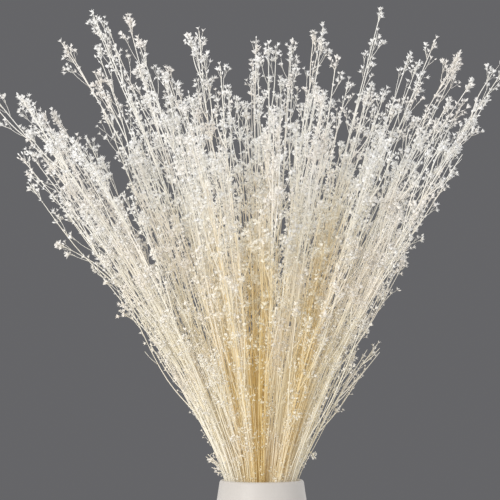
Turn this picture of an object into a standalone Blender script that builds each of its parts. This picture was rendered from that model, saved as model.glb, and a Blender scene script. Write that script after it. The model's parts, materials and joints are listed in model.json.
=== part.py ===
"""A bunch of dried, bleached gypsophila standing in a plain ceramic vase.

Metres, +Z up. The origin is the centre of the vase's foot, on the surface it stands on, and the
bunch is seen from the front along +Y. Each cut stem is one solid with the side stems and florets
that grew on it. The stems stand on the vase's inner floor and fan out over its rim.
"""

import math
import random

import bmesh
import bpy
import numpy as np
from mathutils import Matrix, Vector

# Vase: a slim barrel with a rounded rim.
VASE_HEIGHT = 0.200
RIM_RADIUS = 0.0378
BELLY_RADIUS = 0.0470
BELLY_HEIGHT = 0.090
FOOT_RADIUS = 0.0385
WALL = 0.0040
FLOOR = 0.0080
SWELL = 1.8  # how fully the belly is rounded: the power of the barrel's outline
FOOT_CHAMFER = 0.0012
INNER_HEIGHTS = (FLOOR, 0.045, BELLY_HEIGHT, 0.150)  # where the wall's outline has its points
OUTER_HEIGHTS = (0.180, 0.150, 0.120, BELLY_HEIGHT, 0.050, 0.022, FOOT_CHAMFER)
RIM_RUNS = 3
VASE_SIDES = 32

# Bunch: how the stems stand in the vase and spread above it.
MOUTH_RADIUS = 0.0315  # the outermost stem's axis where it passes the rim
MOUTH_GAP = 0.0074  # how far apart the stems pass the rim
WAIST_HEIGHT = 0.130  # the stems are closest together here, inside the vase
WAIST_SHARE = 0.66  # the bunch's radius at the waist, as a share of the mouth's
FOOT_SHARE = 0.80  # and on the vase's inner floor
FOOT_GAP = 0.0005
TWIST = math.radians(24)  # the stems turn about the bunch's axis from foot to rim
FAN_DEPTH = 0.070  # the stems fan out as if from a point this far below the rim
FIRST_RISE = 0.64  # how straight a stem leans out: 1 is a straight line
RUN_HEIGHT = 0.080  # the height of each straight run above the rim
FEWEST_RUNS = 3
WOBBLE = 0.0050  # how far a stem strays from its smooth line

# One stem and what grows on it.
STEM_RADIUS = 0.0013
STEM_TIP_RADIUS = 0.0006
SIDE_RADIUS = 0.00075
SIDE_TIP_RADIUS = 0.00055
ROOT_SHARE = 0.45  # a side stem starts this much of its stem's radius, so that its root stays inside
STEM_SIDES = 3  # a fine stem is a three-sided tube
SIDE_STEMS = 5
SHORT_SIDE_STEMS = 3
SHORT_STEM = 0.180  # a stem that rises less than this above the rim is a short one
FIRST_SIDE = 0.13  # the lowest side stem's place, as a share of the length above the rim
SIDE_STEP = 0.145
SIDE_STRAY = 0.05
SIDE_SHARES = (0.72, 0.95)  # a side stem's length, as a share of what is left of its stem
LONGEST_SIDE = 0.125
FIRST_BEND = 0.4  # where a side stem bends upwards, as a share of its length
LEAVING_ANGLES = (10, 16)
RISING_ANGLES = (2, 7)
SIDE_RETRY_TURN = 0.7  # a side stem or floret that has no room is tried further round its stem

FLORET_RADIUS = 0.0027
FLORET_LENGTH = 0.0062
SIDE_FLORETS = 2
STEM_FLORETS = 4
TIP_SINK = 0.0030  # a floret at a tip is rooted this far below it
LOWEST_ON_STEM = 0.64
LOWEST_ON_SIDE = 0.62
TIP_ANGLES = (2, 10)
FLORET_ANGLES = (42, 62)
FLORET_SPACING = (0.9, 1.0)  # how evenly the florets are spaced along what carries them
FLORET_LENGTHS = (0.9, 1.15)
FLORET_TURNS = 3  # golden angles between the highest and the lowest floret
FLORET_RETRY_TURN = 0.9

SCREW_MERGE = 0.0001
WELD_DISTANCE = 1e-6
CLEARANCE = 0.0007  # least gap between what grows on two different stems
TRIES = 9
SEED = 11
GOLDEN_ANGLE = math.radians(137.508)

# The tips that give the bunch its outline: to the right, towards the back and above the rim.
OUTLINE_TIPS = (
    (-0.242, -0.015, 0.350),
    (-0.224, 0.040, 0.349),
    (-0.211, -0.062, 0.338),
    (-0.194, 0.066, 0.336),
    (-0.166, -0.100, 0.300),
    (-0.222, 0.008, 0.292),
    (-0.175, -0.010, 0.392),
    (-0.150, 0.078, 0.372),
    (-0.146, -0.048, 0.415),
    (-0.126, 0.026, 0.420),
    (-0.104, -0.090, 0.388),
    (-0.086, 0.098, 0.378),
    (-0.060, -0.022, 0.402),
    (-0.037, -0.116, 0.362),
    (-0.009, 0.034, 0.400),
    (0.007, -0.074, 0.384),
    (-0.018, 0.128, 0.352),
    (0.033, 0.078, 0.402),
    (0.051, -0.026, 0.405),
    (0.068, -0.112, 0.368),
    (0.113, 0.016, 0.425),
    (0.104, 0.100, 0.358),
    (0.130, -0.064, 0.376),
    (0.155, -0.014, 0.395),
    (0.182, 0.044, 0.388),
    (0.178, -0.082, 0.352),
    (0.222, 0.000, 0.368),
    (0.196, 0.064, 0.330),
    (0.170, -0.086, 0.300),
    (0.157, 0.110, 0.320),
    (0.136, -0.030, 0.230),
    (-0.158, -0.026, 0.232),
)
# Short stems low in the bunch, on both sides, in front and behind.
LOW_TIPS = (
    (-0.098, -0.020, 0.128),
    (0.104, 0.018, 0.122),
    (0.012, -0.060, 0.152),
    (-0.052, 0.072, 0.166),
    (0.060, -0.082, 0.176),
    (-0.050, -0.078, 0.112),
)
# The rest fill the front and the back, on a spiral from the middle outwards.
FILLING_STEMS = 13
FILLING_REACH = (0.050, 0.188)
FILLING_HEIGHT = (0.372, 0.300)
FILLING_FLATNESS = 0.72  # they stand mostly in front of and behind the others
FILLING_TURN = 0.6

SPRAY_COLOUR = (0.86, 0.80, 0.68, 1.0)
VASE_COLOUR = (0.80, 0.77, 0.73, 1.0)


def clear_scene():
    for obj in list(bpy.data.objects):
        bpy.data.objects.remove(obj)


def new_collection(name, hidden=False):
    collection = bpy.data.collections.new(name)
    collection.hide_render = hidden
    bpy.context.scene.collection.children.link(collection)
    return collection


def finish(name, colour, roughness):
    material = bpy.data.materials.new(name)
    material.use_nodes = True
    shader = material.node_tree.nodes["Principled BSDF"]
    shader.inputs["Base Color"].default_value = colour
    shader.inputs["Roughness"].default_value = roughness
    shader.inputs["Metallic"].default_value = 0.0
    return material


# The vase.
def barrel_radius(height):
    """The vase's outer radius at a height: a power curve above and below the belly."""
    if height > BELLY_HEIGHT:
        share, end = (height - BELLY_HEIGHT) / (VASE_HEIGHT - BELLY_HEIGHT), RIM_RADIUS
    else:
        share, end = (BELLY_HEIGHT - height) / BELLY_HEIGHT, FOOT_RADIUS
    return BELLY_RADIUS - (BELLY_RADIUS - end) * share**SWELL


def vase_profile():
    """The wall's outline as (radius, height), from the inner floor over the rim to the foot."""
    rim_round = WALL / 2
    rim_low = VASE_HEIGHT - rim_round
    points = [(0.0, FLOOR)]
    points += [(barrel_radius(h) - WALL, h) for h in INNER_HEIGHTS]
    middle = barrel_radius(rim_low) - rim_round
    for step in range(RIM_RUNS + 1):
        angle = math.pi - math.pi * step / RIM_RUNS
        points.append((middle + rim_round * math.cos(angle), rim_low + rim_round * math.sin(angle)))
    points += [(barrel_radius(h), h) for h in OUTER_HEIGHTS]
    points += [(FOOT_RADIUS - FOOT_CHAMFER, 0.0), (0.0, 0.0)]
    return points


def make_vase(collection, material):
    profile = vase_profile()
    mesh = bpy.data.meshes.new("vase")
    points = [(radius, 0.0, height) for radius, height in profile]
    edges = [(i, i + 1) for i in range(len(points) - 1)]
    mesh.from_pydata(points, edges, [])
    vase = bpy.data.objects.new("vase", mesh)
    collection.objects.link(vase)
    mesh.materials.append(material)
    screw = vase.modifiers.new("turn", "SCREW")
    screw.steps = screw.render_steps = VASE_SIDES
    screw.use_merge_vertices = True
    screw.merge_threshold = SCREW_MERGE
    screw.use_smooth_shade = True
    return vase


# The stems' paths.
def filling_tips():
    """Tips on a golden-angle spiral, squeezed sideways, lower the further out they lean."""
    tips = []
    for k in range(FILLING_STEMS):
        share = math.sqrt((k + 0.5) / FILLING_STEMS)
        reach = FILLING_REACH[0] + (FILLING_REACH[1] - FILLING_REACH[0]) * share
        height = FILLING_HEIGHT[0] + (FILLING_HEIGHT[1] - FILLING_HEIGHT[0]) * share
        angle = k * GOLDEN_ANGLE + FILLING_TURN
        tips.append((reach * FILLING_FLATNESS * math.cos(angle), reach * math.sin(angle), height))
    return tips


def spread_points(points, least, radius, rounds=60):
    """Pushes points of a disc apart until neighbours are about least apart, inside radius."""
    points = points.copy()
    for _ in range(rounds):
        apart = points[:, None] - points[None, :]
        distance = np.linalg.norm(apart, axis=2) + np.eye(len(points))
        push = np.clip(least - distance, 0, None) / 2
        np.fill_diagonal(push, 0)
        points += (apart / distance[..., None] * push[..., None]).sum(axis=1) / 2
        far = np.linalg.norm(points, axis=1)
        points *= np.minimum(1, radius / np.maximum(far, 1e-9))[:, None]
    return points


def turned(point, angle):
    c, s = math.cos(angle), math.sin(angle)
    return np.array([point[0] * c - point[1] * s, point[0] * s + point[1] * c])


def tips_and_mouths():
    """Each stem's tip, and the place in the vase's mouth on the side that it leans to."""
    tips = np.array(list(OUTLINE_TIPS) + list(LOW_TIPS) + filling_tips())
    lean = tips[:, :2] / (tips[:, 2:] + FAN_DEPTH)
    mouths = lean / np.linalg.norm(lean, axis=1).max() * MOUTH_RADIUS
    return tips, spread_points(mouths, MOUTH_GAP, MOUTH_RADIUS)


def stem_path(tip, mouth, draw):
    """A polyline from the foot past the waist and the rim to the tip, straying a little."""
    low = [
        (FLOOR + FOOT_GAP, FOOT_SHARE, -TWIST),
        (WAIST_HEIGHT, WAIST_SHARE, -TWIST / 3),
        (VASE_HEIGHT, 1.0, 0.0),
    ]
    path = [(*(turned(mouth, turn) * share), height) for height, share, turn in low]
    runs = max(FEWEST_RUNS, round(tip[2] / RUN_HEIGHT))
    for k in range(1, runs + 1):
        t = k / runs
        out = FIRST_RISE * t + (1 - FIRST_RISE) * t * t
        stray = np.array([draw.uniform(-WOBBLE, WOBBLE), draw.uniform(-WOBBLE, WOBBLE)]) * t
        path.append((*(mouth + (tip[:2] - mouth) * out + stray), VASE_HEIGHT + tip[2] * t))
    return np.array(path)


# Keeping what grows on one stem clear of the others.
class Grown:
    """The runs placed so far, as segments with a radius and the number of their stem."""

    def __init__(self):
        self.start = np.zeros((0, 3))
        self.end = np.zeros((0, 3))
        self.radius = np.zeros(0)
        self.stem = np.zeros(0, int)

    def add(self, path, radius, stem):
        path = np.asarray(path)
        self.start = np.vstack([self.start, path[:-1]])
        self.end = np.vstack([self.end, path[1:]])
        self.radius = np.append(self.radius, np.full(len(path) - 1, radius))
        self.stem = np.append(self.stem, np.full(len(path) - 1, stem))

    def is_clear(self, path, radius, stem):
        others = self.stem != stem
        start, end, width = self.start[others], self.end[others], self.radius[others]
        for a, b in zip(path[:-1], path[1:]):
            if (gaps(a, b, start, end) < width + radius + CLEARANCE).any():
                return False
        return True


def gaps(a, b, start, end):
    """Shortest distances from the segment a-b to each of the segments start-end."""
    along, others, between = b - a, end - start, a - start
    aa = along @ along
    ee = (others**2).sum(axis=1)
    f = (others * between).sum(axis=1)
    c = between @ along
    cross = others @ along
    low = np.maximum(aa * ee - cross**2, 1e-18)
    s = np.clip((cross * f - c * ee) / low, 0, 1)
    t = (cross * s + f) / ee
    s = np.where(t < 0, np.clip(-c / aa, 0, 1), s)
    s = np.where(t > 1, np.clip((cross - c) / aa, 0, 1), s)
    t = np.clip(t, 0, 1)
    return np.linalg.norm(between + s[:, None] * along - t[:, None] * others, axis=1)


def length_of(path):
    return np.linalg.norm(np.diff(path, axis=0), axis=1).sum()


def at_share(path, share):
    """The point of a polyline at a share of its length, and the direction it runs there."""
    runs = np.diff(path, axis=0)
    lengths = np.linalg.norm(runs, axis=1)
    distance = share * lengths.sum()
    k = 0
    while k < len(lengths) - 1 and distance > lengths[k]:
        distance -= lengths[k]
        k += 1
    direction = runs[k] / lengths[k]
    return path[k] + direction * min(distance, lengths[k]), direction


def leaning(direction, around, angle):
    """A unit vector at an angle to direction, turned around it."""
    side = np.cross(direction, (0.0, 1.0, 0.0))
    side /= np.linalg.norm(side)
    other = np.cross(direction, side)
    across = side * math.cos(around) + other * math.sin(around)
    return direction * math.cos(angle) + across * math.sin(angle)


def grow_bunch():
    """Every stem: its path, the part above the rim, its side stems and its florets."""
    draw = random.Random(SEED)
    grown = Grown()
    stems = []
    for number, (tip, mouth) in enumerate(zip(*tips_and_mouths())):
        for _ in range(TRIES):
            path = stem_path(tip, mouth, draw)
            if grown.is_clear(path, STEM_RADIUS, number):
                break
        grown.add(path, STEM_RADIUS, number)
        stems.append({"path": path, "above": path[2:], "sides": [], "florets": []})
    for k in range(SIDE_STEMS):
        for number, stem in enumerate(stems):
            is_short = stem["above"][-1][2] - VASE_HEIGHT < SHORT_STEM
            if k < (SHORT_SIDE_STEMS if is_short else SIDE_STEMS):
                grow_side(stem, number, k, grown, draw)
    for number, stem in enumerate(stems):
        carriers = [(stem["above"], STEM_FLORETS, LOWEST_ON_STEM)]
        carriers += [(path, SIDE_FLORETS, LOWEST_ON_SIDE) for path, _ in stem["sides"]]
        for carrier, count, lowest in carriers:
            for k in range(count):
                grow_floret(stem, carrier, k / (count - 1), lowest, number, grown, draw)
    return stems


def grow_side(stem, number, k, grown, draw):
    """A side stem leaves at a wider angle, then rises closer to the way its stem runs."""
    reach = length_of(stem["above"])
    for attempt in range(TRIES):
        share = FIRST_SIDE + SIDE_STEP * k + draw.uniform(-SIDE_STRAY, SIDE_STRAY)
        length = min(reach * (1 - share) * draw.uniform(*SIDE_SHARES), LONGEST_SIDE)
        around = k * GOLDEN_ANGLE + number + attempt * SIDE_RETRY_TURN
        start, direction = at_share(stem["above"], share)
        first = leaning(direction, around, math.radians(draw.uniform(*LEAVING_ANGLES)))
        then = leaning(direction, around, math.radians(draw.uniform(*RISING_ANGLES)))
        middle = start + first * length * FIRST_BEND
        path = np.array([start, middle, middle + then * length * (1 - FIRST_BEND)])
        if grown.is_clear(path, SIDE_RADIUS, number):
            grown.add(path, SIDE_RADIUS, number)
            stem["sides"].append((path, share))
            return


def grow_floret(stem, carrier, rank, lowest, number, grown, draw):
    """Rank 0 stands on the carrier's tip and rank 1 is the lowest, turned round from the first."""
    highest = 1 - TIP_SINK / length_of(carrier)
    for attempt in range(TRIES):
        share = highest - (highest - lowest) * rank * draw.uniform(*FLORET_SPACING)
        tilt = math.radians(draw.uniform(*(FLORET_ANGLES if rank else TIP_ANGLES)))
        root, direction = at_share(carrier, share)
        around = rank * FLORET_TURNS * GOLDEN_ANGLE + number + attempt * FLORET_RETRY_TURN
        length = FLORET_LENGTH * draw.uniform(*FLORET_LENGTHS)
        top = root + leaning(direction, around, tilt) * length
        if grown.is_clear([root, top], FLORET_RADIUS, number):
            grown.add([root, top], FLORET_RADIUS, number)
            stem["florets"].append((root, top))
            return


# Solids.
def ring_curve(name, sides, collection):
    """A closed outline of a few sides and unit radius, which the tubes below follow."""
    data = bpy.data.curves.new(name, "CURVE")
    data.dimensions = "2D"
    data.fill_mode = "NONE"
    spline = data.splines.new("POLY")
    spline.points.add(sides - 1)
    for k, point in enumerate(spline.points):
        angle = 2 * math.pi * k / sides
        point.co = (math.cos(angle), math.sin(angle), 0.0, 1.0)
    spline.use_cyclic_u = True
    guide = bpy.data.objects.new(name, data)
    guide.hide_render = True
    collection.objects.link(guide)
    return guide


def tube(name, path, radii, outline, collection):
    """A tapered tube through the points of a path, as a closed mesh."""
    data = bpy.data.curves.new("path", "CURVE")
    data.dimensions = "3D"
    data.bevel_mode = "OBJECT"
    data.bevel_object = outline
    data.use_fill_caps = True
    spline = data.splines.new("POLY")
    spline.points.add(len(path) - 1)
    for point, place, radius in zip(spline.points, path, radii):
        point.co = (*place, 1.0)
        point.radius = radius
    curve = bpy.data.objects.new("path", data)
    collection.objects.link(curve)
    bpy.context.view_layer.update()
    graph = bpy.context.evaluated_depsgraph_get()
    mesh = bpy.data.meshes.new_from_object(curve.evaluated_get(graph))
    work = bmesh.new()
    work.from_mesh(mesh)
    bmesh.ops.remove_doubles(work, verts=work.verts, dist=WELD_DISTANCE)
    bmesh.ops.recalc_face_normals(work, faces=work.faces)
    work.to_mesh(mesh)
    work.free()
    solid = bpy.data.objects.new(name, mesh)
    solid.matrix_world = curve.matrix_world
    collection.objects.link(solid)
    bpy.data.objects.remove(curve)
    return solid


def funnel(name, root, top, turn, collection):
    """A floret: a three-sided funnel, with its point inside the stem that it grows on."""
    work = bmesh.new()
    axis = Vector(top) - Vector(root)
    bmesh.ops.create_cone(
        work,
        cap_ends=True,
        segments=3,
        radius1=0.0,
        radius2=FLORET_RADIUS,
        depth=axis.length,
    )
    stand = Matrix.Translation((0, 0, axis.length / 2))
    turned_up = axis.to_track_quat("Z", "Y").to_matrix().to_4x4()
    place = Matrix.Translation(Vector(root)) @ turned_up @ Matrix.Rotation(turn, 4, "Z") @ stand
    bmesh.ops.transform(work, matrix=place, verts=work.verts)
    mesh = bpy.data.meshes.new(name)
    work.to_mesh(mesh)
    work.free()
    solid = bpy.data.objects.new(name, mesh)
    collection.objects.link(solid)
    return solid


def tapered(path, first, last):
    """A radius for each point of a path, shrinking evenly along its length."""
    lengths = np.append(0.0, np.cumsum(np.linalg.norm(np.diff(path, axis=0), axis=1)))
    return first + (last - first) * lengths / lengths[-1]


def side_radii(stem, share):
    """A side stem's radii, starting well inside the stem at a share of its length above the rim."""
    below = 1 - length_of(stem["above"]) / length_of(stem["path"])
    along = below + (1 - below) * share
    stem_radius = STEM_RADIUS + (STEM_TIP_RADIUS - STEM_RADIUS) * along
    return (stem_radius * ROOT_SHARE, SIDE_RADIUS, SIDE_TIP_RADIUS)


def join(body, pieces):
    """One Boolean union of a body with everything in a collection, applied, and the rest removed."""
    union = body.modifiers.new("grown together", "BOOLEAN")
    union.operation = "UNION"
    union.operand_type = "COLLECTION"
    union.collection = pieces
    union.solver = "EXACT"
    bpy.context.view_layer.update()
    graph = bpy.context.evaluated_depsgraph_get()
    mesh = bpy.data.meshes.new_from_object(body.evaluated_get(graph))
    body.modifiers.remove(union)
    body.data = mesh
    for piece in list(pieces.objects):
        bpy.data.objects.remove(piece)


def make_spray(number, stem, outline, bunch, workshop, material):
    name = f"stem_{number + 1:02d}"
    body = tube(name, stem["path"], tapered(stem["path"], STEM_RADIUS, STEM_TIP_RADIUS), outline, bunch)
    for path, share in stem["sides"]:
        tube("side", path, side_radii(stem, share), outline, workshop)
    for k, (root, top) in enumerate(stem["florets"]):
        funnel("floret", root, top, k * GOLDEN_ANGLE, workshop)
    join(body, workshop)
    body.data.materials.clear()
    body.data.materials.append(material)
    return body


def main():
    clear_scene()
    bunch = new_collection("gypsophila bunch")
    workshop = new_collection("joined pieces", hidden=True)
    guides = new_collection("guides", hidden=True)
    outline = ring_curve("stem outline", STEM_SIDES, guides)
    make_vase(bunch, finish("vase ceramic", VASE_COLOUR, 0.45))
    dried = finish("dried gypsophila", SPRAY_COLOUR, 0.75)
    for number, stem in enumerate(grow_bunch()):
        make_spray(number, stem, outline, bunch, workshop, dried)


main()
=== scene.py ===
# Looks of a bunch of dried, bleached gypsophila in a plain ceramic vase. Everything is in metres.
import json
import math
import random

import bpy
import numpy as np
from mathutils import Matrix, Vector

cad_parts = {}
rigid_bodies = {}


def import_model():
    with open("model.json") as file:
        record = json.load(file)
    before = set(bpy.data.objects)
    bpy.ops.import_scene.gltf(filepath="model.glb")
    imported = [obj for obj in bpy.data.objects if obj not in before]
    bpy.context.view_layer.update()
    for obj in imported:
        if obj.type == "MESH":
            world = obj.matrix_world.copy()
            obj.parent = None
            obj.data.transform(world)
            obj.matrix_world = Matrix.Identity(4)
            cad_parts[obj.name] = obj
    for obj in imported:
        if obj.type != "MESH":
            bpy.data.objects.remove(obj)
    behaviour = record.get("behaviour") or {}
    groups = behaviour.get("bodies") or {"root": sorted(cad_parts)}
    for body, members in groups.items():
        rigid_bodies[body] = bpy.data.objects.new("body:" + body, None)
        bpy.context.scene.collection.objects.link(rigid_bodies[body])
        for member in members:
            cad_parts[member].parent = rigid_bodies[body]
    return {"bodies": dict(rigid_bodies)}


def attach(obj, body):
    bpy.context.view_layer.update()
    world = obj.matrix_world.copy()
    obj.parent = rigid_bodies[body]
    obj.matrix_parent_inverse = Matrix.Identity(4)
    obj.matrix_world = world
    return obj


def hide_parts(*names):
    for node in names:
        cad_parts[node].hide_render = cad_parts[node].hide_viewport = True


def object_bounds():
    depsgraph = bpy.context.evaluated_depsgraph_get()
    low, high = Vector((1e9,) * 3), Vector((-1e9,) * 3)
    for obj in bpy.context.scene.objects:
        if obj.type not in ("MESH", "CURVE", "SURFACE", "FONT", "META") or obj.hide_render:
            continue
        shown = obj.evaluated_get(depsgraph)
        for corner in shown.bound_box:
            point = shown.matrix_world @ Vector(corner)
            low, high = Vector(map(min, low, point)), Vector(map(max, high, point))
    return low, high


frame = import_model()
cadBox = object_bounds()
root = next(iter(frame["bodies"]))
goldenAngle = math.radians(137.508)

# Camera: the photograph's frame is 450 mm wide at the vase's axis, which stands right of its middle.
view = {
    "distance": 2.4,
    "height": 0.358,  # a little above the rim, so that the rim's front edge just sags
    "aimHeight": 0.4065,
    "aimRight": -0.0105,
    "frameWidth": 0.450,
    "sensor": 36,  # millimetres
    "clip": (0.05, 60),
}


def makeCamera():
    # The lens is as long as it takes for the frame's width to fill the sensor.
    data = bpy.data.cameras.new("camera")
    data.sensor_width = view["sensor"]
    data.lens = data.sensor_width * view["distance"] / view["frameWidth"]
    data.clip_start, data.clip_end = view["clip"]
    camera = bpy.data.objects.new("camera", data)
    bpy.context.scene.collection.objects.link(camera)
    camera.location = (view["aimRight"], -view["distance"], view["height"])
    rise = math.atan((view["aimHeight"] - view["height"]) / view["distance"])
    camera.rotation_euler = (math.pi / 2 + rise, 0, 0)
    bpy.context.scene.camera = camera


makeCamera()
print("camera set")

# The stems' rule, with the sizes that the solids have.
bunch = {
    "vaseHeight": 0.200,
    "vaseFloor": 0.0080,
    "footGap": 0.0005,
    "mouthRadius": 0.0315,
    "mouthGap": 0.0074,
    "waistHeight": 0.130,
    "waistShare": 0.66,
    "footShare": 0.80,
    "twist": math.radians(24),
    "fanDepth": 0.070,
    "firstRise": 0.64,
    "runHeight": 0.080,
    "fewestRuns": 3,
    "wobble": 0.0050,
    "stemRadius": 0.0013,
    "stemTipRadius": 0.0006,
    "sideRadius": 0.00075,
    "sideTipRadius": 0.00055,
    "sideStems": 5,
    "shortSideStems": 3,
    "shortStem": 0.180,
    "firstSide": 0.13,
    "sideStep": 0.145,
    "sideStray": 0.05,
    "sideShares": (0.72, 0.95),
    "longestSide": 0.125,
    "firstBend": 0.4,
    "leavingAngles": (10, 16),
    "risingAngles": (2, 7),
    "sideRetryTurn": 0.7,
    "floretRadius": 0.0027,
    "floretLength": 0.0062,
    "sideFlorets": 2,
    "stemFlorets": 4,
    "tipSink": 0.0030,
    "lowestOnStem": 0.64,
    "lowestOnSide": 0.62,
    "tipAngles": (2, 10),
    "floretAngles": (42, 62),
    "floretSpacing": (0.9, 1.0),
    "floretLengths": (0.9, 1.15),
    "floretTurns": 3,
    "floretRetryTurn": 0.9,
    "clearance": 0.0007,
    "tries": 9,
    "seed": 11,
    "fillingStems": 13,
    "fillingReach": (0.050, 0.188),
    "fillingHeight": (0.372, 0.300),
    "fillingFlatness": 0.72,
    "fillingTurn": 0.6,
}
# Tips that give the outline: to the right, towards the back and above the rim.
outlineTips = (
    (-0.242, -0.015, 0.350), (-0.224, 0.040, 0.349), (-0.211, -0.062, 0.338), (-0.194, 0.066, 0.336),
    (-0.166, -0.100, 0.300), (-0.222, 0.008, 0.292), (-0.175, -0.010, 0.392), (-0.150, 0.078, 0.372),
    (-0.146, -0.048, 0.415), (-0.126, 0.026, 0.420), (-0.104, -0.090, 0.388), (-0.086, 0.098, 0.378),
    (-0.060, -0.022, 0.402), (-0.037, -0.116, 0.362), (-0.009, 0.034, 0.400), (0.007, -0.074, 0.384),
    (-0.018, 0.128, 0.352), (0.033, 0.078, 0.402), (0.051, -0.026, 0.405), (0.068, -0.112, 0.368),
    (0.113, 0.016, 0.425), (0.104, 0.100, 0.358), (0.130, -0.064, 0.376), (0.155, -0.014, 0.395),
    (0.182, 0.044, 0.388), (0.178, -0.082, 0.352), (0.222, 0.000, 0.368), (0.196, 0.064, 0.330),
    (0.170, -0.086, 0.300), (0.157, 0.110, 0.320), (0.136, -0.030, 0.230), (-0.158, -0.026, 0.232),
)
lowTips = (
    (-0.098, -0.020, 0.128), (0.104, 0.018, 0.122), (0.012, -0.060, 0.152),
    (-0.052, 0.072, 0.166), (0.060, -0.082, 0.176), (-0.050, -0.078, 0.112),
)


def fillingTips():
    # On a golden-angle spiral, squeezed sideways, lower the further out they lean.
    tips = []
    (near, far), (high, low) = bunch["fillingReach"], bunch["fillingHeight"]
    for k in range(bunch["fillingStems"]):
        share = math.sqrt((k + 0.5) / bunch["fillingStems"])
        reach = near + (far - near) * share
        height = high + (low - high) * share
        angle = k * goldenAngle + bunch["fillingTurn"]
        tips.append((reach * bunch["fillingFlatness"] * math.cos(angle), reach * math.sin(angle), height))
    return tips


def spreadPoints(points, least, radius, rounds=60):
    # Pushes points of a disc apart until neighbours are about least apart, inside radius.
    points = points.copy()
    for _ in range(rounds):
        apart = points[:, None] - points[None, :]
        distance = np.linalg.norm(apart, axis=2) + np.eye(len(points))
        push = np.clip(least - distance, 0, None) / 2
        np.fill_diagonal(push, 0)
        points += (apart / distance[..., None] * push[..., None]).sum(axis=1) / 2
        far = np.linalg.norm(points, axis=1)
        points *= np.minimum(1, radius / np.maximum(far, 1e-9))[:, None]
    return points


def turned(point, angle):
    # A point of the level plane, turned about the axis.
    c, s = math.cos(angle), math.sin(angle)
    return np.array([point[0] * c - point[1] * s, point[0] * s + point[1] * c])


def tipsAndMouths():
    # A stem passes the mouth on the side that its tip leans to, the further out the more it leans.
    tips = np.array(list(outlineTips) + list(lowTips) + fillingTips())
    leans = tips[:, :2] / (tips[:, 2:] + bunch["fanDepth"])
    mouths = leans / np.linalg.norm(leans, axis=1).max() * bunch["mouthRadius"]
    return tips, spreadPoints(mouths, bunch["mouthGap"], bunch["mouthRadius"])


def stemPath(tip, mouth, draw):
    # From the foot past the waist and the rim; above it, out to the tip by a t + (1 - a) t^2, straying.
    low = [
        (bunch["vaseFloor"] + bunch["footGap"], bunch["footShare"], -bunch["twist"]),
        (bunch["waistHeight"], bunch["waistShare"], -bunch["twist"] / 3),
        (bunch["vaseHeight"], 1.0, 0.0),
    ]
    path = [(*(turned(mouth, turn) * share), height) for height, share, turn in low]
    runs = max(bunch["fewestRuns"], round(tip[2] / bunch["runHeight"]))
    wobble = bunch["wobble"]
    for k in range(1, runs + 1):
        t = k / runs
        out = bunch["firstRise"] * t + (1 - bunch["firstRise"]) * t * t
        stray = np.array([draw.uniform(-wobble, wobble), draw.uniform(-wobble, wobble)]) * t
        level = mouth + (tip[:2] - mouth) * out + stray
        path.append((*level, bunch["vaseHeight"] + tip[2] * t))
    return np.array(path)


class Grown:
    # The runs placed so far, as segments with a radius and the number of their stem.
    def __init__(self):
        self.start = np.zeros((0, 3))
        self.end = np.zeros((0, 3))
        self.radius = np.zeros(0)
        self.stem = np.zeros(0, int)

    def add(self, path, radius, stem):
        # Each run of the path is one more segment.
        path = np.asarray(path)
        self.start = np.vstack([self.start, path[:-1]])
        self.end = np.vstack([self.end, path[1:]])
        self.radius = np.append(self.radius, np.full(len(path) - 1, radius))
        self.stem = np.append(self.stem, np.full(len(path) - 1, stem))

    def isClear(self, path, radius, stem):
        # Whether every run keeps the clearance from every segment of the other stems.
        others = self.stem != stem
        start, end, width = self.start[others], self.end[others], self.radius[others]
        for a, b in zip(path[:-1], path[1:]):
            if (gaps(a, b, start, end) < width + radius + bunch["clearance"]).any():
                return False
        return True


def gaps(a, b, start, end):
    # Shortest distances from the segment a-b to each of the segments start-end.
    along, others, between = b - a, end - start, a - start
    aa = along @ along
    ee = (others**2).sum(axis=1)
    f = (others * between).sum(axis=1)
    c = between @ along
    cross = others @ along
    low = np.maximum(aa * ee - cross**2, 1e-18)
    s = np.clip((cross * f - c * ee) / low, 0, 1)
    t = (cross * s + f) / ee
    s = np.where(t < 0, np.clip(-c / aa, 0, 1), s)
    s = np.where(t > 1, np.clip((cross - c) / aa, 0, 1), s)
    t = np.clip(t, 0, 1)
    return np.linalg.norm(between + s[:, None] * along - t[:, None] * others, axis=1)


def lengthOf(path):
    # The sum of the lengths of a path's runs.
    return np.linalg.norm(np.diff(path, axis=0), axis=1).sum()


def atShare(path, share):
    # The point of a polyline at a share of its length, and the direction it runs there.
    runs = np.diff(path, axis=0)
    lengths = np.linalg.norm(runs, axis=1)
    distance = share * lengths.sum()
    k = 0
    while k < len(lengths) - 1 and distance > lengths[k]:
        distance -= lengths[k]
        k += 1
    direction = runs[k] / lengths[k]
    return path[k] + direction * min(distance, lengths[k]), direction


def leaning(direction, around, angle):
    # A unit vector at an angle to direction, turned around it.
    side = np.cross(direction, (0.0, 1.0, 0.0))
    side /= np.linalg.norm(side)
    other = np.cross(direction, side)
    across = side * math.cos(around) + other * math.sin(around)
    return direction * math.cos(angle) + across * math.sin(angle)


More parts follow.
